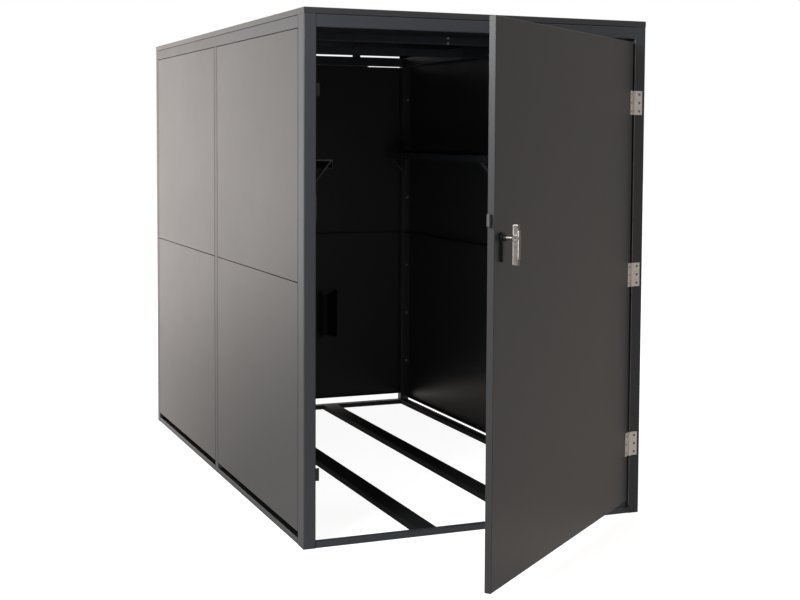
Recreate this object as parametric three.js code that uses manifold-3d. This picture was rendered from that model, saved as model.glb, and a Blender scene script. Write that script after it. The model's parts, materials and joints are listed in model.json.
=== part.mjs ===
// Bicycle locker: a two-bay frame of hollow sections closed by folded cassette panels,
// with a roof tray, a hinged door that latches into the left front post, two wheel
// tracks, two wheel holders and two shelves. Millimetres, +Z up, the door at -Y.
import * as THREE from 'three';
import { mergeVertices } from 'three/addons/utils/BufferGeometryUtils.js';
import Module from 'manifold-3d';

const wasm = await Module();
wasm.setup();

// Overall sizes
const WIDTH = 1200;
const BAY_LENGTH = 1000;
const FRAME_HEIGHT = 1650;
const ROOF_HEIGHT = 20;

// Frame sections
const POST_WIDTH = 40;
const FRONT_POST_DEPTH = 60;
const RAIL_HEIGHT = 40;
const BASE_HEIGHT = 20;
const SILL_DEPTH = 25;
const BEAM_HEIGHT = 30;
const TUBE_WALL = 2;
const TUBE_CORNER = 3;

// Sheets, plates and fits
const SHEET = 1.5;
const PLATE = 3;
const FIT_GAP = 0.3;
const CUT_MARGIN = 1;

// Folded panels
const PANEL_FLANGE = 25;
const PANEL_BEND = 2.5;
const PANEL_SEAM = 1;
const LOWER_PANEL_TOP = 824;
const SIDE_VENT = 20;
const REAR_VENT = 30;
const REAR_NOTCH_WIDTH = 164;
const REAR_NOTCH_DEPTH = 2;

// Roof
const ROOF_LIP = 20;
const ROOF_HEM = 11;
const ROOF_BEND = 2;
const SPACER_WIDTH = 26;
const SPACER_OFFSET = 335;

// Wheel tracks and wheel holders
const TRACK_WIDTH = 66;
const TRACK_OFFSET = 190;
const TRACK_SHIFT = 11;
const TRACK_LAP = 5;
const HOLDER_BOTTOM = 345;
const HOLDER_HEIGHT = 225;
const HOLDER_MOUTH = 78;
const HOLDER_BACK = 24;
const HOLDER_DEPTH = 60;
const HOLDER_DIP = 32;

// Shelves and their brackets
const SHELF_TOP = 1206;
const SHELF_REACH = 86;
const SHELF_LIP = 28;
const SHELF_RETURN = 20;
const SHELF_UPSTAND = 15;
const SHELF_FRONT = 95;
const SHELF_REAR_SETBACK = 65;
const BRACKET_DROP = 106;
const BRACKET_STRIP = 25;

// Door
const DOOR_GAP = 5;
const DOOR_HEAD_GAP = 10;
const DOOR_BOTTOM = 44;
const DOOR_THICKNESS = 20;
const DOOR_LIP = 20;
const DOOR_ANGLE = THREE.MathUtils.degToRad(40);
const STIFFENER_CROWN = 50;
const STIFFENER_LIP = 20;
const STOP_ABOVE_BOTTOM = 183;
const STOP_BELOW_TOP = 178;
const STOP_HEIGHT = 40;
const STOP_REACH = 17;
const STOP_FOOT = 18;

// Hinges
const HINGE_ABOVE_BOTTOM = 197;
const HINGE_BELOW_TOP = 203;
const HINGE_HEIGHT = 80;
const LEAF_WIDTH = 25;
const LEAF_THICKNESS = 2.5;
const BARREL_RADIUS = 6;
const PIN_RADIUS = 3;
const KNUCKLES = 5;

// Lock
const SPINDLE_INSET = 45;
const SPINDLE_HEIGHT = 1009;
const SPINDLE_RADIUS = 5;
const CASE_WIDTH = 72;
const CASE_BELOW_SPINDLE = 49;
const CASE_ABOVE_SPINDLE = 81;
const BACKPLATE_RADIUS = 15;
const BACKPLATE_THICKNESS = 7;
const BACKPLATE_TAIL = 61;
const BACKPLATE_TAIL_RADIUS = 5.5;
const NECK_RADIUS = 9;
const NECK_FRONT = 15.5;
const HUB_RADIUS = 10.7;
const HUB_LENGTH = 18;
const HUB_STANDOFF = 44;
const HUB_ROUNDING = 2;
const SET_SCREW_RADIUS = 2;
const SET_SCREW_DEPTH = 3;
const GRIP_BACK = 37;
const GRIP_DEPTH = 15;
const GRIP_THICKNESS = 14;
const GRIP_ABOVE = 37;
const GRIP_BELOW = 73;
const GRIP_EDGE = 1.5;
const RIB_DEPTH = 3;
const RIB_ABOVE = 22;
const RIB_BELOW = 58;
const COLLAR_RADIUS = 6.5;
const COLLAR_BACK = 16;
const COLLAR_LENGTH = 6;
const KEY_RADIUS = 5;
const KEY_DEPTH = 15;
const KEYWAY_WIDTH = 1.5;
const KEYWAY_HEIGHT = 6;
const KEYWAY_DEPTH = 8;
const BOLT_HEIGHT = 32;
const BOLT_ABOVE_SPINDLE = 33;
const BOLT_THICKNESS = 10;
const BOLT_BEHIND_FACE = 9;
const BOLT_LENGTH = 52;
const BOLT_THROW = 14;
const BOLT_BEVEL = 4;
const BOLT_TRAVEL = 12;
const STRIKE_HEIGHT = 80;
const STRIKE_SETBACK = 2;
const STRIKE_WIDTH = 20;
const STRIKE_PLAY = 1;

// A quarter turn in degrees, and the smoothness of the round shapes
const QUARTER_DEGREES = 90;
const BEND_STEPS = 3;
const CORNER_STEPS = 2;
const ROUND_STEPS = 24;

// Places that follow from the sizes
const HALF_WIDTH = WIDTH / 2;
const POST_FACE = HALF_WIDTH - POST_WIDTH;
const MID_POST_FRONT = FRONT_POST_DEPTH + BAY_LENGTH;
const REAR_BAY_FRONT = MID_POST_FRONT + POST_WIDTH;
const REAR_POST_FRONT = REAR_BAY_FRONT + BAY_LENGTH;
const DEPTH = REAR_POST_FRONT + POST_WIDTH;
const RAIL_UNDERSIDE = FRAME_HEIGHT - RAIL_HEIGHT;
const UPPER_PANEL_BOTTOM = LOWER_PANEL_TOP + PANEL_SEAM;
const UPPER_PANEL_TOP = RAIL_UNDERSIDE - PANEL_SEAM;
const DOOR_WIDTH = 2 * (POST_FACE - DOOR_GAP);
const DOOR_TOP = RAIL_UNDERSIDE - DOOR_HEAD_GAP;
const HINGE_AXIS_X = POST_FACE - DOOR_GAP / 2;
const HINGE_EDGE_X = -DOOR_GAP / 2;
const FREE_EDGE_X = HINGE_EDGE_X - DOOR_WIDTH;
const DOOR_FACE_Y = BARREL_RADIUS;
const DOOR_LINING_Y = DOOR_FACE_Y + SHEET + FIT_GAP;
const DOOR_CORE = DOOR_THICKNESS - 2 * (SHEET + FIT_GAP);
const SPINDLE_X = FREE_EDGE_X + SPINDLE_INSET;
const RIB_CREST = GRIP_BACK + GRIP_DEPTH + RIB_DEPTH;
const CASE_BOTTOM = SPINDLE_HEIGHT - CASE_BELOW_SPINDLE;
const CASE_TOP = SPINDLE_HEIGHT + CASE_ABOVE_SPINDLE;
const BOLT_BOTTOM = SPINDLE_HEIGHT + BOLT_ABOVE_SPINDLE;
const BOLT_TOP = BOLT_BOTTOM + BOLT_HEIGHT;
const BOLT_Y = [DOOR_FACE_Y + BOLT_BEHIND_FACE, DOOR_FACE_Y + BOLT_BEHIND_FACE + BOLT_THICKNESS];

// Colour, roughness and metalness of each finish
const FINISHES = {
  frame: [0x34383c, 0.45, 0.3],
  panel: [0x3d4044, 0.38, 0.3],
  door: [0x46423e, 0.42, 0.3],
  track: [0x26292b, 0.5, 0.4],
  fitting: [0x17191a, 0.6, 0.2],
  stainless: [0xb0a8a2, 0.35, 0.9],
  black: [0x141414, 0.5, 0.1],
};

const locker = new THREE.Group();

// Adds a named mesh with a material of its own and returns it.
function add(name, geometry, finish, parent = locker) {
  const [color, roughness, metalness] = FINISHES[finish];
  const mesh = new THREE.Mesh(geometry, new THREE.MeshStandardMaterial({ color, roughness, metalness }));
  mesh.name = name;
  parent.add(mesh);
  return mesh;
}

// Turns a closed geometry into a solid that can be joined and cut. Triangles whose
// corners fall together, as they do where a lathed profile meets its axis, are left out.
function solid(geometry) {
  geometry.deleteAttribute('normal');
  geometry.deleteAttribute('uv');
  const merged = mergeVertices(geometry);
  const triangles = [];
  for (let start = 0; start < merged.index.count; start += 3) {
    const corners = [...merged.index.array.subarray(start, start + 3)];
    if (new Set(corners).size === 3) {
      triangles.push(...corners);
    }
  }
  const mesh = new wasm.Mesh({
    numProp: 3,
    vertProperties: merged.attributes.position.array,
    triVerts: new Uint32Array(triangles),
  });
  return new wasm.Manifold(mesh);
}

// Turns a solid back into a geometry.
function surface(body) {
  const mesh = body.getMesh();
  const geometry = new THREE.BufferGeometry();
  geometry.setAttribute('position', new THREE.BufferAttribute(mesh.vertProperties, 3));
  geometry.setIndex(new THREE.BufferAttribute(mesh.triVerts, 1));
  geometry.computeVertexNormals();
  return geometry;
}

const length = ([low, high]) => high - low;
const middle = ([low, high]) => (low + high) / 2;

// A solid block between two limits along each axis.
function block(xs, ys, zs) {
  const geometry = new THREE.BoxGeometry(length(xs), length(ys), length(zs));
  return solid(geometry.translate(middle(xs), middle(ys), middle(zs)));
}

// A solid cylinder about the z axis.
function barrel(radius, [bottom, top]) {
  const geometry = new THREE.CylinderGeometry(radius, radius, top - bottom, ROUND_STEPS);
  return solid(geometry.rotateX(Math.PI / 2).translate(0, 0, (bottom + top) / 2));
}

// A solid cylinder about the y axis.
function stud(radius, [front, back]) {
  const geometry = new THREE.CylinderGeometry(radius, radius, back - front, ROUND_STEPS);
  return solid(geometry.translate(0, (front + back) / 2, 0));
}

function polygon(points) {
  return new THREE.Shape(points.map(([x, y]) => new THREE.Vector2(x, y)));
}

// A rectangle about the origin with round corners.
function roundedRectangle(path, width, height, radius) {
  const x = width / 2 - radius;
  const y = height / 2 - radius;
  path.moveTo(x, -y - radius);
  path.absarc(x, -y, radius, -Math.PI / 2, 0);
  path.absarc(x, y, radius, 0, Math.PI / 2);
  path.absarc(-x, y, radius, Math.PI / 2, Math.PI);
  path.absarc(-x, -y, radius, Math.PI, 1.5 * Math.PI);
  path.closePath();
  return path;
}

// Extrudes an outline along z from zero.
function extrudeZ(outline, depth) {
  return new THREE.ExtrudeGeometry(outline, { depth, bevelEnabled: false, curveSegments: CORNER_STEPS });
}

// Extrudes an outline of x and z along y from zero.
function extrudeY(outline, depth) {
  return extrudeZ(outline, depth).rotateX(Math.PI / 2).translate(0, depth, 0);
}

// Extrudes an outline of y and z along x, to both sides of zero.
function extrudeX(outline, depth) {
  const turn = new THREE.Matrix4().makeBasis(
    new THREE.Vector3(0, 1, 0),
    new THREE.Vector3(0, 0, 1),
    new THREE.Vector3(1, 0, 0),
  );
  return extrudeZ(outline, depth).translate(0, 0, -depth / 2).applyMatrix4(turn);
}

// The outline of a folded sheet: its outer side follows the path, and its thickness
// lies to the right of the path's direction, or to the left when it is negative.
function fold(path, sheet = SHEET) {
  const points = path.map(([x, y]) => new THREE.Vector2(x, y));
  const normals = points.slice(1).map((point, i) => {
    const along = point.clone().sub(points[i]).normalize();
    return new THREE.Vector2(along.y, -along.x);
  });
  const inner = points.map((point, i) => {
    const before = normals[Math.max(i - 1, 0)];
    const after = normals[Math.min(i, normals.length - 1)];
    const mitre = before.clone().add(after);
    return point.clone().addScaledVector(mitre, 2 * sheet / mitre.lengthSq());
  });
  return new THREE.Shape([...points, ...inner.reverse()]);
}

// Hollow section

// A length of hollow section with round corners, along the named axis.
function tube(axis, xs, ys, zs) {
  const spans = { x: [zs, ys, xs], y: [xs, zs, ys], z: [xs, ys, zs] };
  const [width, height, run] = spans[axis].map(length);
  const outline = roundedRectangle(new THREE.Shape(), width, height, TUBE_CORNER);
  const inner = [width - 2 * TUBE_WALL, height - 2 * TUBE_WALL, TUBE_CORNER - TUBE_WALL];
  outline.holes.push(roundedRectangle(new THREE.Path(), ...inner));
  const geometry = extrudeZ(outline, run).translate(0, 0, -run / 2);
  if (axis === 'x') {
    geometry.rotateY(Math.PI / 2);
  }
  if (axis === 'y') {
    geometry.rotateX(-Math.PI / 2);
  }
  return geometry;
}

function addTube(name, axis, xs, ys, zs) {
  const mesh = add(name, tube(axis, xs, ys, zs), 'frame');
  mesh.position.set(middle(xs), middle(ys), middle(zs));
  return mesh;
}

// The limits of a span that lies on the named side of the middle.
function onSide(side, inner, outer) {
  return side < 0 ? [-outer, -inner] : [inner, outer];
}

const SIDES = { left: -1, right: 1 };
const opening = [-POST_FACE, POST_FACE];
const postHeights = [0, FRAME_HEIGHT];
const baseHeights = [0, BASE_HEIGHT];
const railHeights = [RAIL_UNDERSIDE, FRAME_HEIGHT];
const betweenPosts = [FRONT_POST_DEPTH, REAR_POST_FRONT];
const rearPostDepths = [REAR_POST_FRONT, DEPTH];

// The bolt's slot in the left front post, and in the strike plate in front of it
const strikeY = BOLT_Y.map((y) => y - BARREL_RADIUS);
const slotY = [strikeY[0] - STRIKE_PLAY, strikeY[1] + STRIKE_PLAY];
const slotZ = [BOLT_BOTTOM - STRIKE_PLAY, BOLT_TOP + STRIKE_PLAY];

function strikeSlot() {
  const xs = [-POST_FACE - TUBE_WALL - CUT_MARGIN, -POST_FACE + SHEET + CUT_MARGIN];
  return block(xs, slotY, slotZ);
}

for (const [name, side] of Object.entries(SIDES)) {
  const postX = onSide(side, POST_FACE, HALF_WIDTH);
  const frontPost = addTube(`front_post_${name}`, 'z', postX, [0, FRONT_POST_DEPTH], postHeights);
  if (side < 0) {
    const slot = strikeSlot().translate(frontPost.position.clone().negate().toArray());
    frontPost.geometry = surface(solid(frontPost.geometry).subtract(slot));
  }
  addTube(`mid_post_${name}`, 'z', postX, [MID_POST_FRONT, REAR_BAY_FRONT], [BASE_HEIGHT, RAIL_UNDERSIDE]);
  addTube(`rear_post_${name}`, 'z', postX, rearPostDepths, postHeights);
  addTube(`base_rail_${name}`, 'y', postX, betweenPosts, baseHeights);
  addTube(`top_rail_${name}`, 'y', postX, betweenPosts, railHeights);
}
addTube('sill_front', 'x', opening, [0, SILL_DEPTH], baseHeights);
addTube('base_rail_rear', 'x', opening, rearPostDepths, baseHeights);
addTube('header_front', 'x', opening, [0, POST_WIDTH], railHeights);
addTube('top_rail_rear', 'x', opening, rearPostDepths, railHeights);

// Roof beams, at a third and two thirds of the depth
for (const [name, third] of [['front', 1], ['rear', 2]]) {
  const y = DEPTH * third / 3;
  const ys = [y - POST_WIDTH / 2, y + POST_WIDTH / 2];
  addTube(`roof_beam_${name}`, 'x', opening, ys, [FRAME_HEIGHT - BEAM_HEIGHT, FRAME_HEIGHT]);
}

// Folded pans

// A folded pan whose face is at y = 0, with its flanges running back along +y. Its
// outer edges are bent round, and a lip wider than the sheet turns inwards at the back.
function pan(width, height, flange, lip = SHEET) {
  const options = {
    depth: flange,
    bevelThickness: PANEL_BEND,
    bevelSize: PANEL_BEND,
    bevelOffset: -PANEL_BEND,
    bevelSegments: BEND_STEPS,
  };
  const outline = new THREE.Shape();
  outline.moveTo(-width / 2, 0);
  outline.lineTo(width / 2, 0);
  outline.lineTo(width / 2, height);
  outline.lineTo(-width / 2, height);
  const geometry = new THREE.ExtrudeGeometry(outline, options);
  geometry.translate(0, 0, -flange - PANEL_BEND).rotateX(Math.PI / 2);
  const cut = (inset, front, back) => {
    const xs = [inset - width / 2, width / 2 - inset];
    return block(xs, [front, back], [inset, height - inset]);
  };
  const backEnd = flange + 2 * PANEL_BEND + CUT_MARGIN;
  const trimmed = solid(geometry).subtract(cut(-CUT_MARGIN, flange, backEnd));
  const cavity = cut(SHEET, SHEET, flange - SHEET);
  const mouth = cut(lip, SHEET, backEnd);
  return trimmed.subtract(cavity).subtract(mouth);
}

// Side panels, two high in each bay
const tiers = {
  lower: [BASE_HEIGHT + SIDE_VENT, LOWER_PANEL_TOP],
  upper: [UPPER_PANEL_BOTTOM, UPPER_PANEL_TOP],
};
const bays = { front: FRONT_POST_DEPTH, rear: REAR_BAY_FRONT };
for (const [name, side] of Object.entries(SIDES)) {
  for (const [bay, start] of Object.entries(bays)) {
    for (const [tier, heights] of Object.entries(tiers)) {
      const panel = pan(BAY_LENGTH - 2 * FIT_GAP, length(heights), PANEL_FLANGE);
      const mesh = add(`side_panel_${name}_${bay}_${tier}`, surface(panel), 'panel');
      mesh.rotation.z = side * Math.PI / 2;
      mesh.position.set(side * HALF_WIDTH, start + BAY_LENGTH / 2, heights[0]);
    }
  }
}

// Rear panels; the upper one is cut back at both ends of its top edge
function addRearPanel(name, [bottom, top], notched) {
  const width = 2 * (POST_FACE - FIT_GAP);
  const height = top - bottom;
  let panel = pan(width, height, PANEL_FLANGE);
  if (notched) {
    for (const side of Object.values(SIDES)) {
      const xs = onSide(side, POST_FACE - REAR_NOTCH_WIDTH, HALF_WIDTH);
      const ys = [-CUT_MARGIN, PANEL_FLANGE + CUT_MARGIN];
      panel = panel.subtract(block(xs, ys, [height - REAR_NOTCH_DEPTH, height + CUT_MARGIN]));
    }
  }
  const mesh = add(name, surface(panel), 'panel');
  mesh.rotation.z = Math.PI;
  mesh.position.set(0, DEPTH, bottom);
}

addRearPanel('rear_panel_lower', [BASE_HEIGHT + REAR_VENT, LOWER_PANEL_TOP], false);
addRearPanel('rear_panel_upper', tiers.upper, true);

// Roof tray: a skirt with inward lips, open under a hem at the back between the posts
function roofTray() {
  const outline = new THREE.Shape();
  outline.moveTo(-HALF_WIDTH, 0);
  outline.lineTo(HALF_WIDTH, 0);
  outline.lineTo(HALF_WIDTH, DEPTH);
  outline.lineTo(-HALF_WIDTH, DEPTH);
  const geometry = new THREE.ExtrudeGeometry(outline, {
    depth: ROOF_HEIGHT - 2 * ROOF_BEND,
    bevelThickness: ROOF_BEND,
    bevelSize: ROOF_BEND,
    bevelOffset: -ROOF_BEND,
    bevelSegments: BEND_STEPS,
  });
  geometry.translate(0, 0, ROOF_BEND);
  const inside = [SHEET - HALF_WIDTH, HALF_WIDTH - SHEET];
  const opening = [-POST_FACE, POST_FACE];
  const lipless = [ROOF_LIP - HALF_WIDTH, HALF_WIDTH - ROOF_LIP];
  const cavity = block(inside, [SHEET, DEPTH - SHEET], [SHEET, ROOF_HEIGHT - SHEET]);
  const mouth = block(lipless, [ROOF_LIP, DEPTH - SHEET], [-CUT_MARGIN, 2 * SHEET]);
  const slotHeights = [-CUT_MARGIN, ROOF_HEIGHT - ROOF_HEM];
  const rearSlot = block(opening, [DEPTH - 2 * SHEET, DEPTH + CUT_MARGIN], slotHeights);
  return solid(geometry).subtract(cavity).subtract(mouth).subtract(rearSlot);
}

add('roof_tray', surface(roofTray()), 'panel').position.z = FRAME_HEIGHT;

// Spacers that carry the tray's open rear edge
for (const [name, side] of Object.entries(SIDES)) {
  const height = ROOF_HEIGHT - SHEET;
  const depth = POST_WIDTH - 2 * SHEET;
  const path = [[0, 0], [0, height], [depth, height], [depth, 0]];
  const mesh = add(`roof_spacer_${name}`, extrudeX(fold(path, PLATE), SPACER_WIDTH), 'frame');
  mesh.position.set(side * SPACER_OFFSET, REAR_POST_FRONT, FRAME_HEIGHT);
}

// Wheel tracks: inverted channels that lap onto the sill and the rear rail
function wheelTrack() {
  const front = SILL_DEPTH - TRACK_LAP;
  const run = REAR_POST_FRONT + TRACK_LAP - front;
  const half = TRACK_WIDTH / 2;
  const top = BASE_HEIGHT + SHEET;
  const channel = fold([[-half, 0], [-half, top], [half, top], [half, 0]]);
  const across = [-half - CUT_MARGIN, half + CUT_MARGIN];
  const lap = TRACK_LAP + FIT_GAP;
  const relief = (ys) => block(across, ys, [-CUT_MARGIN, BASE_HEIGHT]);
  const track = solid(extrudeY(channel, run));
  return track.subtract(relief([-CUT_MARGIN, lap])).subtract(relief([run - lap, run + CUT_MARGIN]));
}

// Wheel holders: channels that open towards the door, with a dip in their top edge
function wheelHolder() {
  const wide = HOLDER_MOUTH / 2;
  const narrow = HOLDER_BACK / 2;
  const plan = fold([[-wide, -HOLDER_DEPTH], [-narrow, 0], [narrow, 0], [wide, -HOLDER_DEPTH]], PLATE);
  const dip = polygon([
    [-narrow, HOLDER_HEIGHT - HOLDER_DIP],
    [narrow, HOLDER_HEIGHT - HOLDER_DIP],
    [wide + CUT_MARGIN, HOLDER_HEIGHT + CUT_MARGIN],
    [-wide - CUT_MARGIN, HOLDER_HEIGHT + CUT_MARGIN],
  ]);
  const cut = extrudeY(dip, HOLDER_DEPTH + 2 * CUT_MARGIN).translate(0, -HOLDER_DEPTH - CUT_MARGIN, 0);
  return solid(extrudeZ(plan, HOLDER_HEIGHT)).subtract(solid(cut));
}

for (const [name, side] of Object.entries(SIDES)) {
  const track = add(`wheel_track_${name}`, surface(wheelTrack()), 'track');
  track.position.set(side * TRACK_OFFSET + TRACK_SHIFT, SILL_DEPTH - TRACK_LAP, 0);
  const holder = add(`wheel_holder_${name}`, surface(wheelHolder()), 'fitting');
  const wallY = DEPTH - SHEET - FIT_GAP;
  holder.position.set(side * TRACK_OFFSET, wallY, HOLDER_BOTTOM);
}

// Shelves along both walls, each a folded sheet on three triangular brackets

// A bracket whose strip starts at y = 0: an arm, a brace that passes just inside the
// shelf's return, and a wall flange that spans the given depths.
function bracket(inward, flangeY) {
  const reach = SHELF_REACH - SHEET - FIT_GAP;
  const toe = SHELF_REACH - SHELF_RETURN - FIT_GAP;
  const low = SHELF_LIP - 2 * SHEET - FIT_GAP;
  const slope = (BRACKET_DROP - low) / toe;
  const rise = PLATE * Math.hypot(1, slope);
  const corners = [
    [0, -BRACKET_DROP],
    [BRACKET_DROP / slope, 0],
    [(BRACKET_DROP - rise) / slope, 0],
    [0, rise - BRACKET_DROP],
  ];
  const brace = solid(extrudeY(polygon(corners.map(([x, z]) => [inward * x, z])), BRACKET_STRIP));
  const strip = [0, BRACKET_STRIP];
  const arm = block(onSide(inward, 0, reach), strip, [-PLATE, 0]);
  const space = block(onSide(inward, 0, reach), strip, [-BRACKET_DROP, 0]);
  const flange = block(onSide(inward, 0, PLATE), flangeY, [-BRACKET_DROP, 0]);
  return brace.intersect(space).add(arm).add(flange);
}

const shelfRear = DEPTH - SHELF_REAR_SETBACK;
const midStrip = (MID_POST_FRONT + REAR_BAY_FRONT - BRACKET_STRIP) / 2;
const rearPanelRim = DEPTH - PANEL_FLANGE - FIT_GAP;
const stopRear = DOOR_THICKNESS + FIT_GAP + STOP_FOOT;
const bracketPlaces = {
  front: [SHELF_FRONT, [stopRear + FIT_GAP - SHELF_FRONT, BRACKET_STRIP]],
  mid: [midStrip, [(BRACKET_STRIP - POST_WIDTH) / 2, (BRACKET_STRIP + POST_WIDTH) / 2]],
  rear: [shelfRear - BRACKET_STRIP, [0, rearPanelRim - shelfRear + BRACKET_STRIP]],
};
for (const [name, side] of Object.entries(SIDES)) {
  const profile = fold([
    [-side * SHEET, SHELF_UPSTAND],
    [-side * SHEET, 0],
    [-side * SHELF_REACH, 0],
    [-side * SHELF_REACH, -SHELF_LIP],
    [-side * (SHELF_REACH - SHELF_RETURN), -SHELF_LIP],
  ], -side * SHEET);
  const shelf = add(`shelf_${name}`, extrudeY(profile, shelfRear - SHELF_FRONT), 'frame');
  shelf.position.set(side * POST_FACE, SHELF_FRONT, SHELF_TOP);
  for (const [place, [y, flangeY]] of Object.entries(bracketPlaces)) {
    const mesh = add(`shelf_bracket_${name}_${place}`, surface(bracket(-side, flangeY)), 'frame');
    mesh.position.set(side * POST_FACE, y, SHELF_TOP - SHEET);
  }
}

// Door stops: angles on the left front post that the door's inner face meets
const stopPlaces = { lower: DOOR_BOTTOM + STOP_ABOVE_BOTTOM, upper: DOOR_TOP - STOP_BELOW_TOP };
for (const [name, height] of Object.entries(stopPlaces)) {
  const front = DOOR_THICKNESS + FIT_GAP;
  const heights = [-STOP_HEIGHT / 2, STOP_HEIGHT / 2];
  const arm = block([0, STOP_REACH], [0, PLATE], heights);
  const foot = block([0, PLATE], [0, STOP_FOOT], heights);
  add(`door_stop_${name}`, surface(arm.add(foot)), 'frame').position.set(-POST_FACE, front, height);
}

// Strike plate around the bolt's slot
const strikeZ = (BOLT_BOTTOM + BOLT_TOP) / 2;
const strike = block(
  [-POST_FACE, SHEET - POST_FACE],
  [STRIKE_SETBACK, STRIKE_SETBACK + STRIKE_WIDTH],
  [strikeZ - STRIKE_HEIGHT / 2, strikeZ + STRIKE_HEIGHT / 2],
);
add('strike_plate', surface(strike.subtract(strikeSlot())), 'frame');

// The door turns about its hinge axis, in front of the frame's face
const door = new THREE.Group();
door.position.set(HINGE_AXIS_X, -BARREL_RADIUS, 0);
door.rotation.z = DOOR_ANGLE;
locker.add(door);

// The passage of the latch bolt, through the door's free edge and into the lock case
function boltPassage() {
  const xs = [FREE_EDGE_X - CUT_MARGIN, FREE_EDGE_X - BOLT_THROW + BOLT_LENGTH + BOLT_TRAVEL + FIT_GAP];
  const ys = [BOLT_Y[0] - FIT_GAP, BOLT_Y[1] + FIT_GAP];
  return block(xs, ys, [BOLT_BOTTOM - FIT_GAP, BOLT_TOP + FIT_GAP]);
}

// The hole for the spindle, from in front of the door to behind it
function spindleHole() {
  const ys = [DOOR_FACE_Y - CUT_MARGIN, DOOR_FACE_Y + DOOR_THICKNESS];
  return stud(SPINDLE_RADIUS + FIT_GAP, ys).translate([SPINDLE_X, 0, SPINDLE_HEIGHT]);
}

function addDoorSkin() {
  const centre = [(HINGE_EDGE_X + FREE_EDGE_X) / 2, DOOR_FACE_Y, DOOR_BOTTOM];
  const skin = pan(DOOR_WIDTH, DOOR_TOP - DOOR_BOTTOM, DOOR_THICKNESS, DOOR_LIP).translate(centre);
  add('door_skin', surface(skin.subtract(boltPassage()).subtract(spindleHole())), 'door', door);
}

// Hat sections across the door, between its skin and its lips
function addStiffener(name, height) {
  const crown = STIFFENER_CROWN / 2;
  const depth = DOOR_CORE - SHEET;
  const profile = fold([
    [0, -crown - STIFFENER_LIP],
    [0, -crown],
    [depth, -crown],
    [depth, crown],
    [0, crown],
    [0, crown + STIFFENER_LIP],
  ]);
  const run = DOOR_WIDTH - 2 * (SHEET + FIT_GAP);
  const mesh = add(`door_stiffener_${name}`, extrudeX(profile, run), 'door', door);
  mesh.position.set((HINGE_EDGE_X + FREE_EDGE_X) / 2, DOOR_LINING_Y, height);
}

function addLockCase() {
  const edge = FREE_EDGE_X + SHEET + FIT_GAP;
  const ys = [DOOR_LINING_Y, DOOR_LINING_Y + DOOR_CORE];
  const body = block([edge, edge + CASE_WIDTH], ys, [CASE_BOTTOM, CASE_TOP]);
  add('lock_case', surface(body.subtract(boltPassage()).subtract(spindleHole())), 'stainless', door);
}

// The bolt's nose is bevelled on the side that meets the strike plate first
function addLatchBolt() {
  const nose = FREE_EDGE_X - BOLT_THROW;
  const [outer, inner] = BOLT_Y;
  const plan = polygon([
    [nose, outer],
    [nose + BOLT_LENGTH, outer],
    [nose + BOLT_LENGTH, inner],
    [nose + BOLT_BEVEL, inner],
    [nose, inner - BOLT_BEVEL],
  ]);
  add('latch_bolt', extrudeZ(plan, BOLT_HEIGHT), 'stainless', door).position.z = BOLT_BOTTOM;
}

// A round plate behind the hub, with a neck about the spindle and a tail that hangs below
function addBackplate() {
  const ys = [-BACKPLATE_THICKNESS - FIT_GAP, -FIT_GAP];
  const tail = block([-BACKPLATE_TAIL_RADIUS, BACKPLATE_TAIL_RADIUS], ys, [-BACKPLATE_TAIL, 0]);
  const end = stud(BACKPLATE_TAIL_RADIUS, ys).translate([0, 0, -BACKPLATE_TAIL]);
  const neck = stud(NECK_RADIUS, [-NECK_FRONT, -FIT_GAP]);
  const hole = stud(SPINDLE_RADIUS + FIT_GAP, [-NECK_FRONT - CUT_MARGIN, 0]);
  const plate = stud(BACKPLATE_RADIUS, ys).add(tail).add(end).add(neck).subtract(hole);
  add('lock_backplate', surface(plate), 'black', door).position.set(SPINDLE_X, DOOR_FACE_Y, SPINDLE_HEIGHT);
}

// The grip's side view, in y and z about the spindle: a bar with a shorter rib outside
function gripOutline() {
  const front = -GRIP_BACK - GRIP_DEPTH;
  const crest = front - RIB_DEPTH;
  return polygon([
    [-GRIP_BACK, -GRIP_BELOW],
    [-GRIP_BACK, GRIP_ABOVE],
    [front, GRIP_ABOVE],
    [front, RIB_ABOVE],
    [crest, RIB_ABOVE - RIB_DEPTH / 2],
    [crest, RIB_DEPTH / 2 - RIB_BELOW],
    [front, -RIB_BELOW],
    [front, -GRIP_BELOW],
  ]);
}

// The hub's round body across the grip, with rounded rims
function hubBody() {
  const reach = HUB_RADIUS - HUB_ROUNDING;
  const end = HUB_LENGTH / 2;
  const profile = new THREE.Path();
  profile.moveTo(0, -end);
  profile.lineTo(reach, -end);
  profile.absarc(reach, HUB_ROUNDING - end, HUB_ROUNDING, -Math.PI / 2, 0);
  profile.absarc(reach, end - HUB_ROUNDING, HUB_ROUNDING, 0, Math.PI / 2);
  profile.lineTo(0, end);
  return across(solid(new THREE.LatheGeometry(profile.getPoints(BEND_STEPS), ROUND_STEPS)));
}

// The blind hole of the set screw in the hub's end, on the door's free side
function setScrewHole() {
  const end = HUB_LENGTH / 2;
  return across(stud(SET_SCREW_RADIUS, [end - SET_SCREW_DEPTH, end + CUT_MARGIN]));
}

// Turns a solid from the spindle's axis to the hub's, at the middle of the grip.
function across(body) {
  return body.rotate([0, 0, QUARTER_DEGREES]).translate([0, -HUB_STANDOFF, 0]);
}

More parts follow.
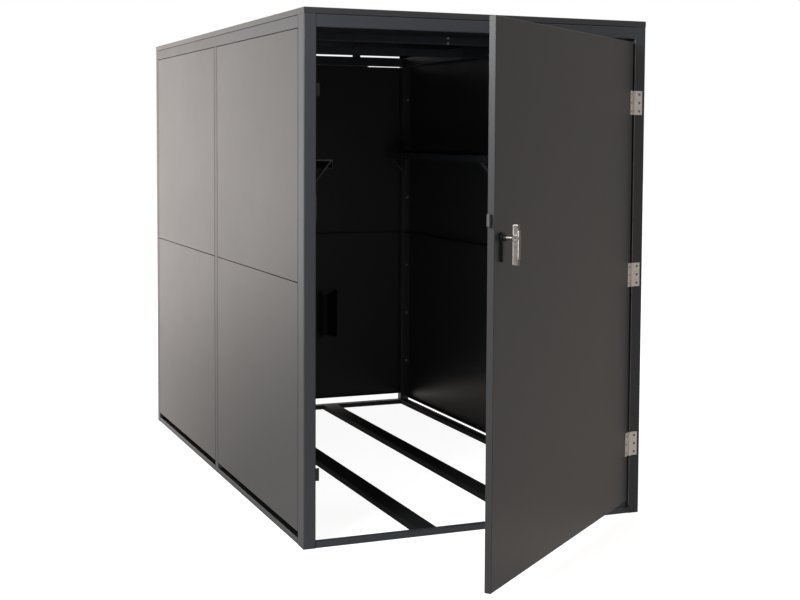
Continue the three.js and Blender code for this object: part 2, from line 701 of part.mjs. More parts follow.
function addHandle() {
  const grip = new THREE.ExtrudeGeometry(gripOutline(), {
    depth: GRIP_THICKNESS - 2 * GRIP_EDGE,
    bevelThickness: GRIP_EDGE,
    bevelSize: GRIP_EDGE,
    bevelOffset: -GRIP_EDGE,
    bevelSegments: BEND_STEPS,
  });
  const turn = new THREE.Matrix4().makeBasis(
    new THREE.Vector3(0, 1, 0),
    new THREE.Vector3(0, 0, 1),
    new THREE.Vector3(1, 0, 0),
  );
  grip.translate(0, 0, GRIP_EDGE - GRIP_THICKNESS / 2).applyMatrix4(turn);
  const spindle = stud(SPINDLE_RADIUS, [-HUB_STANDOFF, SHEET + DOOR_CORE]);
  const collar = stud(COLLAR_RADIUS, [-COLLAR_BACK - COLLAR_LENGTH, -COLLAR_BACK]);
  const keyHole = stud(KEY_RADIUS + FIT_GAP, [-RIB_CREST - CUT_MARGIN, KEY_DEPTH + FIT_GAP - RIB_CREST]);
  const body = hubBody().add(solid(grip)).subtract(setScrewHole());
  const handle = body.add(spindle).add(collar).subtract(keyHole);
  const mesh = add('lock_handle', surface(handle), 'stainless', door);
  mesh.position.set(SPINDLE_X, DOOR_FACE_Y, SPINDLE_HEIGHT);
}

function addKeyCylinder() {
  const plug = stud(KEY_RADIUS, [-RIB_CREST, KEY_DEPTH - RIB_CREST]);
  const keyway = block(
    [-KEYWAY_WIDTH / 2, KEYWAY_WIDTH / 2],
    [-RIB_CREST - CUT_MARGIN, KEYWAY_DEPTH - RIB_CREST],
    [-KEYWAY_HEIGHT / 2, KEYWAY_HEIGHT / 2],
  );
  const mesh = add('key_cylinder', surface(plug.subtract(keyway)), 'stainless', door);
  mesh.position.set(SPINDLE_X, DOOR_FACE_Y, SPINDLE_HEIGHT);
}

addDoorSkin();

// Two stiffeners share the height below the lock case, and one is halfway above it
const stiffenerPitch = (CASE_BOTTOM - DOOR_BOTTOM) / 3;
addStiffener('lower', DOOR_BOTTOM + stiffenerPitch);
addStiffener('middle', CASE_BOTTOM - stiffenerPitch);
addStiffener('upper', (CASE_TOP + DOOR_TOP) / 2);
addLockCase();
addLatchBolt();
addBackplate();
addHandle();
addKeyCylinder();

// Hinges: leaves with interleaved knuckles about a pin that belongs to the post leaf

// The heights that a knuckle fills, about the hinge's middle.
function knuckleSpan(index) {
  const pitch = HINGE_HEIGHT / KNUCKLES;
  return [index * pitch - HINGE_HEIGHT / 2, (index + 1) * pitch - HINGE_HEIGHT / 2];
}

const leafHeights = [-HINGE_HEIGHT / 2, HINGE_HEIGHT / 2];
const indices = [...Array(KNUCKLES).keys()];
const postKnuckles = indices.filter((index) => index % 2 === 0).map(knuckleSpan);
const doorKnuckles = indices.filter((index) => index % 2 === 1).map(knuckleSpan);
const widen = ([low, high], by) => [low - by, high + by];

function postLeaf() {
  const ys = [BARREL_RADIUS - LEAF_THICKNESS, BARREL_RADIUS];
  let leaf = block([0, BARREL_RADIUS + LEAF_WIDTH], ys, leafHeights);
  for (const span of postKnuckles) {
    leaf = leaf.add(barrel(BARREL_RADIUS, span));
  }
  for (const span of doorKnuckles) {
    leaf = leaf.subtract(barrel(BARREL_RADIUS + FIT_GAP, span));
  }
  return leaf.add(barrel(PIN_RADIUS, leafHeights));
}

function doorLeaf() {
  const back = BARREL_RADIUS - FIT_GAP;
  let leaf = block([-BARREL_RADIUS - LEAF_WIDTH, 0], [back - LEAF_THICKNESS, back], leafHeights);
  for (const span of doorKnuckles) {
    leaf = leaf.add(barrel(BARREL_RADIUS, span));
  }
  for (const span of postKnuckles) {
    leaf = leaf.subtract(barrel(BARREL_RADIUS + FIT_GAP, widen(span, FIT_GAP)));
  }
  return leaf.subtract(barrel(PIN_RADIUS + FIT_GAP, widen(leafHeights, CUT_MARGIN)));
}

const lowerHinge = DOOR_BOTTOM + HINGE_ABOVE_BOTTOM;
const upperHinge = DOOR_TOP - HINGE_BELOW_TOP;
const hingePlaces = { lower: lowerHinge, middle: (lowerHinge + upperHinge) / 2, upper: upperHinge };
for (const [name, height] of Object.entries(hingePlaces)) {
  const fixed = add(`hinge_post_leaf_${name}`, surface(postLeaf()), 'stainless');
  fixed.position.set(HINGE_AXIS_X, -BARREL_RADIUS, height);
  const moving = add(`hinge_door_leaf_${name}`, surface(doorLeaf()), 'stainless', door);
  moving.position.z = height;
}

// The origin is the middle of the sill's underside
locker.position.y = -SILL_DEPTH / 2;

export default locker;
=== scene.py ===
# Looks of the bicycle locker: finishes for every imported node, fasteners and small
# fittings that ride on it, floor, soft studio light and the camera. Metres, +Z up.
import json
import math

import bmesh
import bpy
from mathutils import Matrix, Vector


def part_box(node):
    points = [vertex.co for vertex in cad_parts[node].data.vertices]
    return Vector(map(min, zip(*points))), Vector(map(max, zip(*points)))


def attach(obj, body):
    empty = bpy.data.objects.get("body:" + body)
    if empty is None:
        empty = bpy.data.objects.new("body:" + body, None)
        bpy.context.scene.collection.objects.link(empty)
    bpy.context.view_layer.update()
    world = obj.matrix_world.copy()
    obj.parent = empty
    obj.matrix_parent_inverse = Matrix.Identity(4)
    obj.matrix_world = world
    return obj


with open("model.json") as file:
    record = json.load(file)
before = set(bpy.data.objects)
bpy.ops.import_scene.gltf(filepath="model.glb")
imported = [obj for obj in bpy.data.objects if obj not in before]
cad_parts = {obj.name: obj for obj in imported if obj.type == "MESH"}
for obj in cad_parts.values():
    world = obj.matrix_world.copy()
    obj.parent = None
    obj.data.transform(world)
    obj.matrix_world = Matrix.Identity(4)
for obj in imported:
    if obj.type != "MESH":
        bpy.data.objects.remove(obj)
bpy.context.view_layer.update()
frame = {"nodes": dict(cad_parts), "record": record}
scene = bpy.context.scene

# Camera
camera = bpy.data.objects.new("camera", bpy.data.cameras.new("camera"))
scene.collection.objects.link(camera)
scene.camera = camera
camera.location = (-1.9022, -4.0790, 1.2770)
camera.rotation_euler = [math.radians(a) for a in (86.404, -0.3692, -22.8941)]
camera.data.sensor_width = 36
camera.data.lens = 62.85
camera.data.shift_x = -0.03712
camera.data.shift_y = -0.09344
camera.data.clip_start = 0.05
camera.data.clip_end = 100


# Materials

class Nodes:
    """Builds the node tree of a material or a world with short calls."""

    def __init__(self, owner, coordinates="Object"):
        owner.use_nodes = True
        self.tree = owner.node_tree
        self.place = self.add("ShaderNodeTexCoord").outputs[coordinates]

    def add(self, kind, inputs=(), **settings):
        node = self.tree.nodes.new(kind)
        for key, value in settings.items():
            setattr(node, key, value)
        self.fill(node, dict(inputs))
        return node

    def fill(self, node, inputs):
        """Links or sets a node's inputs."""
        for key, value in inputs.items():
            if isinstance(value, bpy.types.NodeSocket):
                self.tree.links.new(value, node.inputs[key])
            else:
                node.inputs[key].default_value = value

    def split(self, vector):
        return self.add("ShaderNodeSeparateXYZ", {0: vector}).outputs

    def noise(self, scale, detail=3.0, roughness=0.55, vector=None):
        values = {
            "Vector": vector or self.place,
            "Scale": scale,
            "Detail": detail,
            "Roughness": roughness,
        }
        return self.add("ShaderNodeTexNoise", values).outputs[0]

    def spread(self, value, low, high, start=0.3, end=0.7):
        """Maps start..end to low..high, and stays within it."""
        values = {"Value": value, "From Min": start, "From Max": end, "To Min": low, "To Max": high}
        return self.add("ShaderNodeMapRange", values).outputs[0]

    def mix(self, factor, first, second):
        return self.add("ShaderNodeMix", {0: factor, 2: first, 3: second}).outputs[0]

    def blend(self, factor, first, second):
        values = {0: factor, 6: first, 7: second}
        return self.add("ShaderNodeMix", values, data_type="RGBA").outputs[2]

    def maths(self, operation, first, second=0.0):
        return self.add("ShaderNodeMath", {0: first, 1: second}, operation=operation).outputs[0]

    def dot(self, first, second):
        values = {0: first, 1: second}
        return self.add("ShaderNodeVectorMath", values, operation="DOT_PRODUCT").outputs["Value"]

    def edges(self, radius, turned=0.75):
        """One along the sharp edges, and zero on the faces between them."""
        rounded = self.add("ShaderNodeBevel", {"Radius": radius}, samples=4).outputs[0]
        facing = self.add("ShaderNodeNewGeometry").outputs["Normal"]
        return self.spread(self.dot(rounded, facing), 1.0, 0.0, turned, 0.997)

    def bump(self, height, strength, distance, normal=None):
        values = {"Height": height, "Strength": strength, "Distance": distance}
        if normal:
            values["Normal"] = normal
        return self.add("ShaderNodeBump", values).outputs[0]

    def seen(self):
        """One for camera and transmission rays, which see the backdrop white."""
        path = self.add("ShaderNodeLightPath").outputs
        return self.maths("MAXIMUM", path["Is Camera Ray"], path["Is Transmission Ray"])

    def mirrored(self):
        """One for the rays that a glossy surface sends out."""
        return self.add("ShaderNodeLightPath").outputs["Is Glossy Ray"]


def shade(colour, factor):
    return tuple(min(1.0, c * factor) for c in colour) + (1.0,)


def material_of(name, build, **inputs):
    """A material whose shader takes the inputs that build returns, and these."""
    material = bpy.data.materials.new(name)
    nodes = Nodes(material)
    shader = material.node_tree.nodes["Principled BSDF"]
    nodes.fill(shader, build(nodes))
    nodes.fill(shader, {key.replace("_", " "): value for key, value in inputs.items()})
    return material


# Scales of the noises, in repeats per metre
CLOUDS = 2.3
WAVES = 5.5
HAND_MARKS = 14.0
POLISH_SPOTS = 30.0
FLOOR_GRAIN = 35.0
RUBBED_SPOTS = 38.0
STAINS = 60.0
PEEL = 260.0
FLECKS = 420.0
PLASTIC_GRAIN = 700.0
GRIT = 900.0
BRUSHED = (40.0, 40.0, 900.0)
EVEN = (120.0, 120.0, 120.0)

POLISH_AND_HIGHLIGHT = (0.95, 0.93, 0.91, 1.0)


def powder_coat(name, colour, roughness, grain=1.0, edge_wear_and_highlight=0.0, specular=0.5):
    """Satin powder coat: fine orange peel, faint clouding, hand marks, and edges lightened as
    rubbed wear and as painted highlight.
    """

    def build(n):
        cloud = n.noise(CLOUDS, 4.0)
        flecks = n.noise(FLECKS, 2.0, 0.7)
        tone = n.blend(n.spread(cloud, 0.0, 1.0), shade(colour, 0.95), shade(colour, 1.05))
        tone = n.blend(n.spread(flecks, 0.0, 0.35, 0.35, 0.75), tone, shade(colour, 1.5))
        marks = n.maths("ADD", cloud, n.noise(HAND_MARKS, 5.0, 0.6))
        gloss = n.spread(marks, roughness - 0.012, roughness + 0.012, 0.7, 1.3)
        if edge_wear_and_highlight:
            # Rubbed patches on the edges, lighter: wear, and partly painted highlight
            patch = n.spread(n.noise(RUBBED_SPOTS, 4.0, 0.7), 0.0, 1.0, 0.42, 0.62)
            rub_and_highlight = n.maths("MULTIPLY", n.maths("MULTIPLY", n.edges(0.0025), patch), edge_wear_and_highlight)
            tone = n.blend(rub_and_highlight, tone, shade(colour, 3.2))
        normal = n.bump(n.noise(PEEL, 2.0, 0.5), 0.10 * grain, 0.0006)
        normal = n.bump(n.noise(GRIT, 2.0, 0.6), 0.10 * grain, 0.0002, normal)
        normal = n.bump(n.noise(WAVES, 2.0, 0.4), 0.03, 0.004, normal)
        return {"Base Color": tone, "Roughness": gloss, "Normal": normal}

    return material_of(name, build, Specular_IOR_Level=specular)


def brushed_steel(name, colour, roughness, grain=BRUSHED, polish=0.0, metallic=1.0):
    """Brushed or dull bright metal: fine streaks, soft stains, and edges lightened as polish from
    hands and as painted highlight.
    """

    def build(n):
        stretched = n.add("ShaderNodeMapping", {"Vector": n.place, "Scale": grain}).outputs[0]
        streaks = n.noise(1.0, 4.0, 0.65, stretched)
        stains = n.noise(STAINS, 4.0, 0.6)
        tone = n.blend(n.spread(stains, 0.0, 1.0), shade(colour, 0.88), shade(colour, 1.06))
        tone = n.blend(n.spread(streaks, 0.0, 0.3, 0.3, 0.75), tone, shade(colour, 0.7))
        if polish:
            # Edges turned towards white: polish from hands, and painted highlight
            tone = n.blend(n.maths("MULTIPLY", n.edges(0.0022, 0.93), polish), tone, POLISH_AND_HIGHLIGHT)
        marks = n.maths("ADD", streaks, stains)
        gloss = n.spread(marks, roughness - 0.09, roughness + 0.12, 0.7, 1.3)
        return {"Base Color": tone, "Roughness": gloss, "Normal": n.bump(streaks, 0.12, 0.0002)}

    return material_of(name, build, Metallic=metallic)


def moulded_plastic(name, colour, roughness, specular=0.5):
    """Black moulded plastic with a spark-eroded grain and slightly polished high spots."""

    def build(n):
        polish = n.noise(POLISH_SPOTS)
        tone = n.blend(n.spread(polish, 0.0, 1.0), shade(colour, 0.85), shade(colour, 1.35))
        gloss = n.spread(polish, roughness - 0.08, roughness + 0.08)
        normal = n.bump(n.noise(PLASTIC_GRAIN, 3.0, 0.6), 0.15, 0.0002)
        return {"Base Color": tone, "Roughness": gloss, "Normal": normal}

    return material_of(name, build, Specular_IOR_Level=specular)


ANTHRACITE = (0.044, 0.050, 0.059)
# The panel and door coats are darker copies of the frame's paint: painted shade that matches how
# dimly they are lit
FINISHES = {
    "frame_coat": powder_coat("frame_coat", ANTHRACITE, 0.36, edge_wear_and_highlight=0.35, specular=0.46),
    "panel_coat": powder_coat("panel_coat", (0.037, 0.039, 0.043), 0.34, edge_wear_and_highlight=0.3),
    "door_coat": powder_coat("door_coat", (0.038, 0.040, 0.043), 0.38, edge_wear_and_highlight=0.3),
    "track_steel": powder_coat("track_steel", (0.012, 0.013, 0.014), 0.48, grain=1.4, edge_wear_and_highlight=0.6),
    "holder_black": powder_coat("holder_black", (0.008, 0.008, 0.009), 0.5, grain=1.2, edge_wear_and_highlight=0.4),
    "stainless": brushed_steel("stainless", (0.90, 0.87, 0.84), 0.40, metallic=0.8),
    "handle_steel": brushed_steel("handle_steel", (0.25, 0.228, 0.218), 0.38, polish=0.3),
    "zinc": brushed_steel("zinc", (0.10, 0.104, 0.110), 0.48, EVEN, metallic=0.1),
    "black_plastic": moulded_plastic("black_plastic", (0.012, 0.012, 0.013), 0.45),
}
# Lighter than the frame's coat: partly painted light, for the light the shelf brackets catch at
# their front edges
BRACKET_STEEL = powder_coat("bracket_steel", (0.085, 0.088, 0.092), 0.42, grain=1.3, edge_wear_and_highlight=0.8)
# Light grey for the painted highlight strip along the hinge-side post
HIGHLIGHT_GREY = powder_coat("painted_highlight_grey", (0.22, 0.225, 0.23), 0.35, edge_wear_and_highlight=0.5)
CAP_STEEL = brushed_steel("cap_steel", (0.34, 0.31, 0.29), 0.34, metallic=0.9)
# Near-white steel for the handle's painted highlights
HIGHLIGHT_STEEL = brushed_steel("highlight_steel", (0.92, 0.89, 0.86), 0.28, metallic=0.45)
# Black, matt and barely glossy, for strips of painted shade in grooves and vents
PAINTED_SHADE_BLACK = moulded_plastic("painted_shade_black", (0.004, 0.004, 0.004), 0.85, 0.08)

for part in frame["record"]["subparts"]:
    bracket = part["node"].startswith("shelf_bracket")
    for material_slot in frame["nodes"][part["node"]].material_slots:
        material_slot.material = BRACKET_STEEL if bracket else FINISHES[part["material_slot"]]


# Fasteners

SEGMENTS = 48
TURN_STEP = 0.7  # radians by which each fastener's drive is turned from the one before
CROSS_ARM = 0.32  # half the width of a cross recess's arm, as a share of its radius


def ring_radius(shape, radius, angle):
    """The distance from the axis to a round, hexagonal or cross outline at an angle."""
    if shape == "hex":
        sector = math.radians(60)
        return radius * math.cos(sector / 2) / math.cos(angle % sector - sector / 2)
    if shape == "cross":
        arm = radius * CROSS_ARM
        across = min(abs(math.sin(angle)), abs(math.cos(angle)))
        return min(radius, arm / max(across, 1e-6))
    return radius


def fastener_mesh(profile):
    """A closed turned body: (outline, radius, height) rings from its seat to its middle."""
    mesh = bmesh.new()
    rings = []
    for shape, radius, height in profile:
        ring = []
        for k in range(SEGMENTS):
            angle = math.tau * k / SEGMENTS
            reach = ring_radius(shape, radius, angle)
            ring.append(mesh.verts.new((reach * math.cos(angle), reach * math.sin(angle), height)))
        rings.append(ring)
    for lower, upper in zip(rings, rings[1:]):
        for k in range(SEGMENTS):
            after = (k + 1) % SEGMENTS
            mesh.faces.new((lower[k], lower[after], upper[after], upper[k]))
    mesh.faces.new(list(reversed(rings[0])))
    mesh.faces.new(rings[-1])
    data = bpy.data.meshes.new("single")
    mesh.to_mesh(data)
    mesh.free()
    return data


def seat(point, normal, turn):
    """A placing that stands +Z along the normal at a point, turned about it by an angle."""
    upright = Vector(normal).to_track_quat("Z", "Y").to_matrix().to_4x4()
    return Matrix.Translation(point) @ upright @ Matrix.Rotation(turn, 4, "Z")


def fasteners(name, profile, spots, body, finish, place=Matrix(), material=None):
    """One piece made of equal turned bodies, each at a (point, normal) spot of a surface."""
    joined = bmesh.new()
    for index, (point, normal) in enumerate(spots):
        single = fastener_mesh(profile)
        single.transform(place @ seat(point, normal, TURN_STEP * index))
        joined.from_mesh(single)
        bpy.data.meshes.remove(single)
    finished(name, joined, body, finish, material)


def finished(name, mesh, body, finish, material=None):
    """Turns mesh code into a shaded piece that rides on a body."""
    bmesh.ops.recalc_face_normals(mesh, faces=mesh.faces)
    data = bpy.data.meshes.new(name)
    mesh.to_mesh(data)
    mesh.free()
    for polygon in data.polygons:
        polygon.use_smooth = True
    data.set_sharp_from_angle(angle=math.radians(30))
    piece = bpy.data.objects.new(name, data)
    scene.collection.objects.link(piece)
    data.materials.append(material or FINISHES[finish])
    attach(piece, body)


# Turned profiles: (outline, radius, height above the seat)
COUNTERSUNK = [
    ("round", 0.0028, -0.0010),
    ("round", 0.0041, 0.0001),
    ("round", 0.0038, 0.0004),
    ("round", 0.0027, 0.0007),
    ("cross", 0.0022, 0.0008),
    ("cross", 0.0017, -0.0007),
    ("cross", 0.0006, -0.0009),
]
BUTTON = [
    ("round", 0.0052, -0.0006),
    ("round", 0.0052, 0.0004),
    ("round", 0.0049, 0.0015),
    ("round", 0.0040, 0.0025),
    ("round", 0.0026, 0.0031),
    ("hex", 0.0022, 0.0031),
    ("hex", 0.0020, 0.0012),
    ("round", 0.0006, 0.0010),
]
SCREW_HEAD = [
    ("round", 0.0042, -0.0006),
    ("round", 0.0042, 0.0006),
    ("round", 0.0038, 0.0016),
    ("round", 0.0027, 0.0023),
    ("cross", 0.0021, 0.0024),
    ("cross", 0.0016, 0.0009),
    ("cross", 0.0006, 0.0008),
]
HUB_CAP = [
    ("round", 0.0080, -0.0006),
    ("round", 0.0080, 0.0004),
    ("round", 0.0074, 0.0009),
    ("round", 0.0060, 0.0009),
    ("round", 0.0056, 0.0005),
    ("round", 0.0030, 0.0005),
    ("hex", 0.0026, 0.0004),
    ("hex", 0.0024, -0.0005),
    ("round", 0.0006, -0.0005),
]
SET_SCREW = [
    ("round", 0.0023, 0.0003),
    ("round", 0.0022, 0.0008),
    ("hex", 0.0012, 0.0008),
    ("hex", 0.0011, 0.0004),
    ("round", 0.0004, 0.0004),
]

SIDES = {"left": -1, "right": 1}
LEVELS = ("lower", "middle", "upper")
FRONT, BACK = (0, -1, 0), (0, 1, 0)
LEFT, UP = (-1, 0, 0), (0, 0, 1)

# Places what is given in the door's own frame: on the hinge axis, open as in the rest pose
HINGE_AXIS = (0.5575, -0.0185, 0)
OPEN_ANGLE = math.radians(40)
DOOR_TURN = Matrix.Translation(HINGE_AXIS) @ Matrix.Rotation(OPEN_ANGLE, 4, "Z")

# Hinge screws, three in each leaf, at one point in the plan of the post and one in the door's
HINGE_SCREW_PITCH = 0.028
POST_SCREW = (0.5775, -0.015)
DOOR_SCREW = (-0.0195, 0.0035)
for level in LEVELS:
    low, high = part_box(f"hinge_post_leaf_{level}")
    middle = (low.z + high.z) / 2
    heights = (middle - HINGE_SCREW_PITCH, middle, middle + HINGE_SCREW_PITCH)
    post_spots = [((*POST_SCREW, z), FRONT) for z in heights]
    fasteners(f"hinge_post_screws_{level}", COUNTERSUNK, post_spots, "frame", "zinc")
    door_spots = [((*DOOR_SCREW, z), FRONT) for z in heights]
    fasteners(f"hinge_door_screws_{level}", COUNTERSUNK, door_spots, "door", "zinc", DOOR_TURN)


# Handle: bright beads along the rib's crest and the grip's back edge, painted highlights for the
# light on those edges, and the hub's end cap with its set screw, all given in the door's own frame

def bead(name, x, y, heights, radius):
    """A round upright bead with domed ends."""
    low, high = heights
    profile = [("round", radius * 0.3, low), ("round", radius * 0.8, low + radius * 0.4)]
    profile += [("round", radius, low + radius), ("round", radius, high - radius)]
    profile += [("round", radius * 0.8, high - radius * 0.4), ("round", radius * 0.3, high)]
    spots = [((x, y, 0.0), UP)]
    fasteners(name, profile, spots, "handle", "handle_steel", DOOR_TURN, HIGHLIGHT_STEEL)


bead("handle_crest_highlight_bead", -1.0743, -0.0472, (0.953, 1.029), 0.0015)
bead("handle_back_highlight_bead", -1.0740, -0.0318, (0.938, 1.044), 0.0011)
hub_end = [((-1.0765, -0.038, 1.009), LEFT)]
fasteners("handle_set_screw", SET_SCREW, hub_end, "handle", "black_plastic", DOOR_TURN)
fasteners("handle_hub_cap", HUB_CAP, hub_end, "handle", "handle_steel", DOOR_TURN, CAP_STEEL)

# Bolts that hold the side panels' flanges to the posts, seen from inside
FLANGE_X = 0.5865
SHEET = 0.0015
PANEL_BOLTS = {"lower": (0.209, 0.440, 0.669), "upper": (0.992, 1.453)}
for side, sign in SIDES.items():
    for bay in ("front", "rear"):
        for tier, heights in PANEL_BOLTS.items():
            low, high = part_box(f"side_panel_{side}_{bay}_{tier}")
            spots = []
            for z in heights:
                spots.append(((sign * FLANGE_X, high.y - SHEET, z), FRONT))
                spots.append(((sign * FLANGE_X, low.y + SHEET, z), BACK))
            fasteners(f"panel_bolts_{side}_{bay}_{tier}", BUTTON, spots, "frame", "stainless")

# Pairs of bolts through the front roof beam, and at the ends of the rear posts
ROOF_BOLT_X = 0.179
REAR_BOLT_X = 0.579
low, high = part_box("roof_beam_front")
spots = [((ROOF_BOLT_X, low.y, z), FRONT) for z in (low.z + 0.005, high.z - 0.006)]
fasteners("roof_beam_bolts", BUTTON, spots, "frame", "stainless")
for side, sign in SIDES.items():
    low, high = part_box(f"rear_post_{side}")
    spots = [((sign * REAR_BOLT_X, low.y, high.z - drop), FRONT) for drop in (0.022, 0.005)]
    spots += [((sign * x, low.y, low.z + 0.016), FRONT) for x in (0.570, REAR_BOLT_X)]
    fasteners(f"rear_post_bolts_{side}", SCREW_HEAD, spots, "frame", "stainless")

# Bolts through the wall flange of each shelf bracket
BRACKET_FLANGE_X = 0.557
BRACKET_BOLT_INSET = 0.03
for side, sign in SIDES.items():
    for place in ("front", "mid", "rear"):
        low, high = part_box(f"shelf_bracket_{side}_{place}")
        middle = (low.y + high.y) / 2
        y = {"front": low.y + 0.03, "mid": middle + 0.016, "rear": high.y - 0.02}[place]
        spots = []
        for z in (high.z - BRACKET_BOLT_INSET, low.z + BRACKET_BOLT_INSET):
            spots.append(((sign * BRACKET_FLANGE_X, y, z), (-sign, 0, 0)))
        fasteners(f"bracket_bolts_{side}_{place}", BUTTON, spots, "frame", "stainless")


# Painted shade: black strips in the grooves about the panels and under the roof tray, standing in
# for the shade in those gaps

# Widths of the strips beside a panel, above it or under the tray, and beside a mid post
GROOVE = 0.0022
SEAM = 0.0016
JOINT = 0.0014

# Distances of their inner and outer faces from the locker's middle plane
GROOVE_SHADE_REACH = (0.5975, 0.5995)
JOINT_REACH = (0.5985, 0.5999)


def bar(mesh, low, high, bevel=0.0002):
    """Adds a strip with rounded edges between two corners."""
    made = bmesh.ops.create_cube(mesh, size=1.0)["verts"]
    size = Vector(high) - Vector(low)
    middle = (Vector(high) + Vector(low)) / 2
    bmesh.ops.scale(mesh, vec=size, verts=made)
    bmesh.ops.translate(mesh, vec=middle, verts=made)
    edges = list({edge for vert in made for edge in vert.link_edges})
    bmesh.ops.bevel(mesh, geom=edges, offset=bevel, segments=2, affect="EDGES", profile=0.5)


def side_bar(mesh, sign, reach, ys, zs):
    """Adds a strip on one side of the locker, with its faces at the two distances of reach."""
    xs = sorted(sign * x for x in reach)
    bar(mesh, (xs[0], ys[0], zs[0]), (xs[1], ys[1], zs[1]))


def band(middle, width):
    return middle - width / 2, middle + width / 2


for side, sign in SIDES.items():
    groove_shade = bmesh.new()
    for bay in ("front", "rear"):
        low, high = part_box(f"side_panel_{side}_{bay}_lower")
        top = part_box(f"side_panel_{side}_{bay}_upper")[1].z
        for y in (low.y, high.y):
            side_bar(groove_shade, sign, GROOVE_SHADE_REACH, band(y, GROOVE), (low.z, top))
        for z in (high.z + 0.0005, top + 0.0005):
            side_bar(groove_shade, sign, GROOVE_SHADE_REACH, (low.y, high.y), band(z, SEAM))
    low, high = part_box("roof_tray")
    side_bar(groove_shade, sign, GROOVE_SHADE_REACH, (low.y + 0.001, high.y - 0.001), band(low.z, SEAM))
    post_low, post_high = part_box(f"mid_post_{side}")
    for y in (post_low.y, post_high.y):
        zs = (post_high.z + 0.001, low.z - 0.001)
        side_bar(groove_shade, sign, JOINT_REACH, band(y, JOINT), zs)
    finished(f"panel_groove_shade_{side}", groove_shade, "frame", "black_plastic", PAINTED_SHADE_BLACK)

# Painted shade in the grooves at the rear panel's sides and top, and under the roof tray's front
groove_shade = bmesh.new()
low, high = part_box("roof_tray")
zs = band(low.z, SEAM)
bar(groove_shade, (low.x + 0.001, low.y + 0.0005, zs[0]), (high.x - 0.001, low.y + 0.0025, zs[1]))
low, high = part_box("rear_panel_lower")
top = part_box("rear_panel_upper")[1].z
back = (high.y - 0.0025, high.y - 0.0005)
for x in (low.x, high.x):
    xs = band(x, GROOVE)
    bar(groove_shade, (xs[0], back[0], low.z), (xs[1], back[1], top - 0.004))
bar(groove_shade, (low.x, back[0], high.z - 0.0003), (high.x, back[1], high.z + 0.0013))
finished("rear_and_roof_groove_shade", groove_shade, "frame", "black_plastic", PAINTED_SHADE_BLACK)

# Painted highlight: a light grey strip along the hinge-side post's inner corner, between the
# hinges, that stands in for the highlight on the post's rounded edge
HINGE_CLEARANCE = 0.001
HIGHLIGHT_FOOT, HIGHLIGHT_TOP = 0.030, 1.606
HIGHLIGHT_X = (0.5596, 0.5614)
HIGHLIGHT_Y = (-0.0132, -0.0118)
HIGHLIGHT_BEVEL = 0.0004
highlight_strip = bmesh.new()
ends = [HIGHLIGHT_FOOT]
for level in LEVELS:
    low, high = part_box(f"hinge_post_leaf_{level}")
    ends += [low.z - HINGE_CLEARANCE, high.z + HINGE_CLEARANCE]
ends.append(HIGHLIGHT_TOP)
for bottom, top in zip(ends[::2], ends[1::2]):
    bar(highlight_strip, (HIGHLIGHT_X[0], HIGHLIGHT_Y[0], bottom), (HIGHLIGHT_X[1], HIGHLIGHT_Y[1], top), HIGHLIGHT_BEVEL)
finished("hinge_post_painted_highlight", highlight_strip, "frame", "frame_coat", HIGHLIGHT_GREY)

# Painted shade: black strips on top of the base rails, in the side vents, that darken the slots
# where the panels shade the rails
for side in SIDES:
    low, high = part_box(f"base_rail_{side}")
    vent_shade = bmesh.new()
    for bay in ("front", "rear"):
        panel_low, panel_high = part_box(f"side_panel_{side}_{bay}_lower")
        start = (low.x + 0.002, panel_low.y + 0.001, high.z - 0.0004)
        bar(vent_shade, start, (high.x - 0.002, panel_high.y - 0.001, high.z + 0.0006))
    finished(f"vent_painted_shade_{side}", vent_shade, "frame", "black_plastic", PAINTED_SHADE_BLACK)


# Floor and light

FLOOR_HALF = 30
WHITE = (1, 1, 1, 1)

# The floor's glow for camera rays: under the locker, where the extra glow is painted light that
# lifts the locker's shade, round it, and what the distance adds
UNDER_GLOW = 0.93
FLOOR_GLOW = 0.87
FAR_GLOW = 0.16

# The floor in glossy surfaces: from beside the locker to far off along a slope on its left,
# and from near to far on its right
BESIDE_LEVEL = 0.50
FAR_LEVEL = 2.45
SLOPE = (1.056, 0.43, 0.0)
NEAR_LEVEL = 0.45
SIDE_LEVEL = 0.40

# The room in glossy surfaces: in general, and in the direction straight behind the locker,
# where the bright part's edge is a cosine. The last level is what matt surfaces receive.
FRONT_LEVEL = 0.36
BACK_LEVEL = 3.9
BACK_EDGE = 0.940
DIFFUSE_LEVEL = 0.3
ROOM_TINT = (1.0, 0.93, 0.88, 1)
SIDE_TINT = (1.0, 0.91, 0.84, 1)

# The locker's half width, its middle, and a little more than its half depth
HALF_WIDTH = 0.6
MIDDLE_Y = 1.06
HALF_DEPTH = 1.07


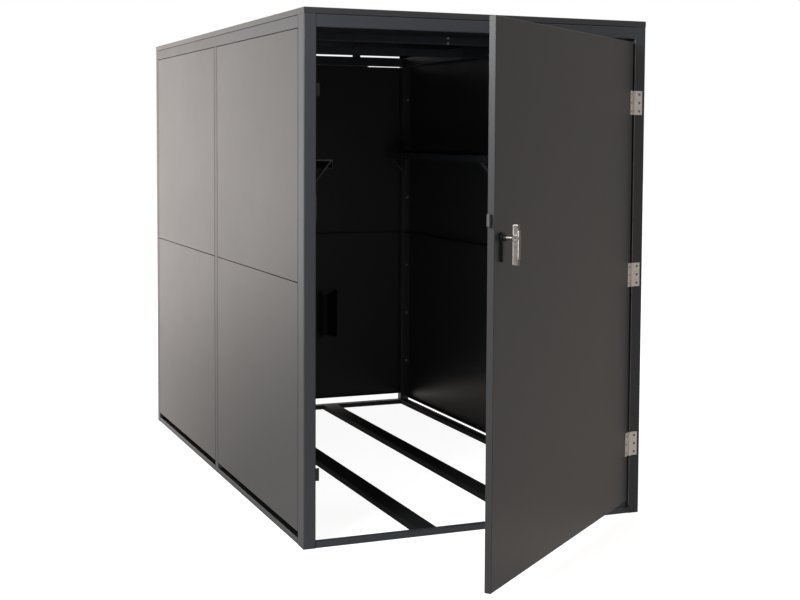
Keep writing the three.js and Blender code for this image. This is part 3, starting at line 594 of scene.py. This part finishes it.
def backdrop_floor():
    """A pale floor that shows white to the camera and keeps the object's shadow."""
    grid = bmesh.new()
    bmesh.ops.create_grid(grid, x_segments=8, y_segments=8, size=FLOOR_HALF)
    data = bpy.data.meshes.new("floor")
    grid.to_mesh(data)
    grid.free()
    floor = bpy.data.objects.new("floor", data)
    scene.collection.objects.link(floor)

    material = bpy.data.materials.new("floor_white")
    n = Nodes(material)
    n.tree.nodes.remove(n.tree.nodes["Principled BSDF"])
    split = n.split(n.place)

    # For the camera: a pale matt floor that takes the shadow, with a glow that makes it white.
    # The reach is one at the locker's outline, less inside it and more outside.
    grain = n.spread(n.noise(FLOOR_GRAIN), 0.0, 1.0)
    tone = n.blend(grain, (0.44, 0.44, 0.44, 1), (0.46, 0.46, 0.46, 1))
    matt = n.add("ShaderNodeBsdfDiffuse", {"Color": tone}).outputs[0]
    across = n.maths("DIVIDE", n.maths("ABSOLUTE", split["X"]), HALF_WIDTH)
    behind = n.maths("SUBTRACT", split["Y"], MIDDLE_Y)
    along = n.maths("DIVIDE", n.maths("ABSOLUTE", behind), HALF_DEPTH)
    reach = n.maths("MAXIMUM", across, along)
    white = n.spread(reach, UNDER_GLOW, FLOOR_GLOW, 0.95, 1.1)
    white = n.maths("ADD", white, n.spread(reach, 0.0, FAR_GLOW, 1.4, 4.0))
    glow = n.add("ShaderNodeEmission", {"Color": WHITE, "Strength": white}).outputs[0]
    both = n.add("ShaderNodeAddShader", {0: matt, 1: glow}).outputs[0]
    lit = n.add("ShaderNodeMixShader", {0: n.seen(), 1: matt, 2: both}).outputs[0]

    # In glossy surfaces: brighter to the back on the left, dim on the right, and dim under the
    # locker as painted shade for the locker's shadow on the floor
    rise = n.spread(n.dot(n.place, SLOPE), BESIDE_LEVEL, FAR_LEVEL, -0.267, 1.563)
    fall = n.spread(split["X"], NEAR_LEVEL, SIDE_LEVEL, 1.0, 12.0)
    beside = n.spread(split["X"], 0.0, 1.0, -0.5, 0.6)
    glint = n.maths("MULTIPLY", n.mix(beside, rise, fall), n.spread(reach, 0.1, 1.0, 0.93, 1.03))
    tint = n.blend(beside, ROOM_TINT, SIDE_TINT)
    sheen = n.add("ShaderNodeEmission", {"Color": tint, "Strength": glint}).outputs[0]
    mixed = n.add("ShaderNodeMixShader", {0: n.mirrored(), 1: lit, 2: sheen}).outputs[0]
    n.fill(n.tree.nodes["Material Output"], {"Surface": mixed})
    data.materials.append(material)


backdrop_floor()


def studio_world():
    """White behind the object, and a softer room light that is brighter at the back."""
    world = bpy.data.worlds.new("studio")
    scene.world = world
    n = Nodes(world, "Generated")
    seen = n.seen()
    ahead = n.split(n.place)["Y"]
    level = n.spread(ahead, FRONT_LEVEL, BACK_LEVEL, BACK_EDGE, 1.0)
    room = n.mix(n.mirrored(), DIFFUSE_LEVEL, level)
    warmth = n.blend(n.spread(ahead, 0.0, 1.0, 0.5, 0.9), SIDE_TINT, ROOM_TINT)
    shown = {"Strength": n.mix(seen, room, 1.0), "Color": n.blend(seen, warmth, WHITE)}
    n.fill(n.tree.nodes["Background"], shown)


studio_world()


def softbox(name, place, aim, size, power, colour=(1, 1, 1), hidden=False):
    """A rectangular area light; a hidden one is seen neither directly nor in reflections."""
    light = bpy.data.lights.new(name, "AREA")
    light.shape = "RECTANGLE"
    light.size, light.size_y = size
    light.energy = power
    light.color = colour
    lamp = bpy.data.objects.new(name, light)
    scene.collection.objects.link(lamp)
    lamp.location = place
    lamp.rotation_euler = (Vector(aim) - Vector(place)).to_track_quat("-Z", "Y").to_euler()
    lamp.visible_camera = not hidden
    lamp.visible_glossy = not hidden


softbox("key", (-2.9, -1.6, 2.6), (-0.5, 0.1, 0.9), (1.5, 1.5), 118)
softbox("fill", (4.6, -2.6, 4.0), (0.2, 0.4, 0.8), (2.5, 2.5), 13)
softbox("top", (0.0, 1.2, 6.0), (0, 1.0, 0.0), (4.0, 4.0), 160)
softbox("edge", (-5.0, -2.05, 2.4), (-0.3, -0.7, 1.6), (1.2, 1.0), 7, (0.80, 0.91, 1.0))
softbox("inside", (0.0, 0.2, 0.75), (0.3, 2.0, 1.0), (0.7, 0.7), 2.0, hidden=True)

scene.view_settings.view_transform = "Standard"
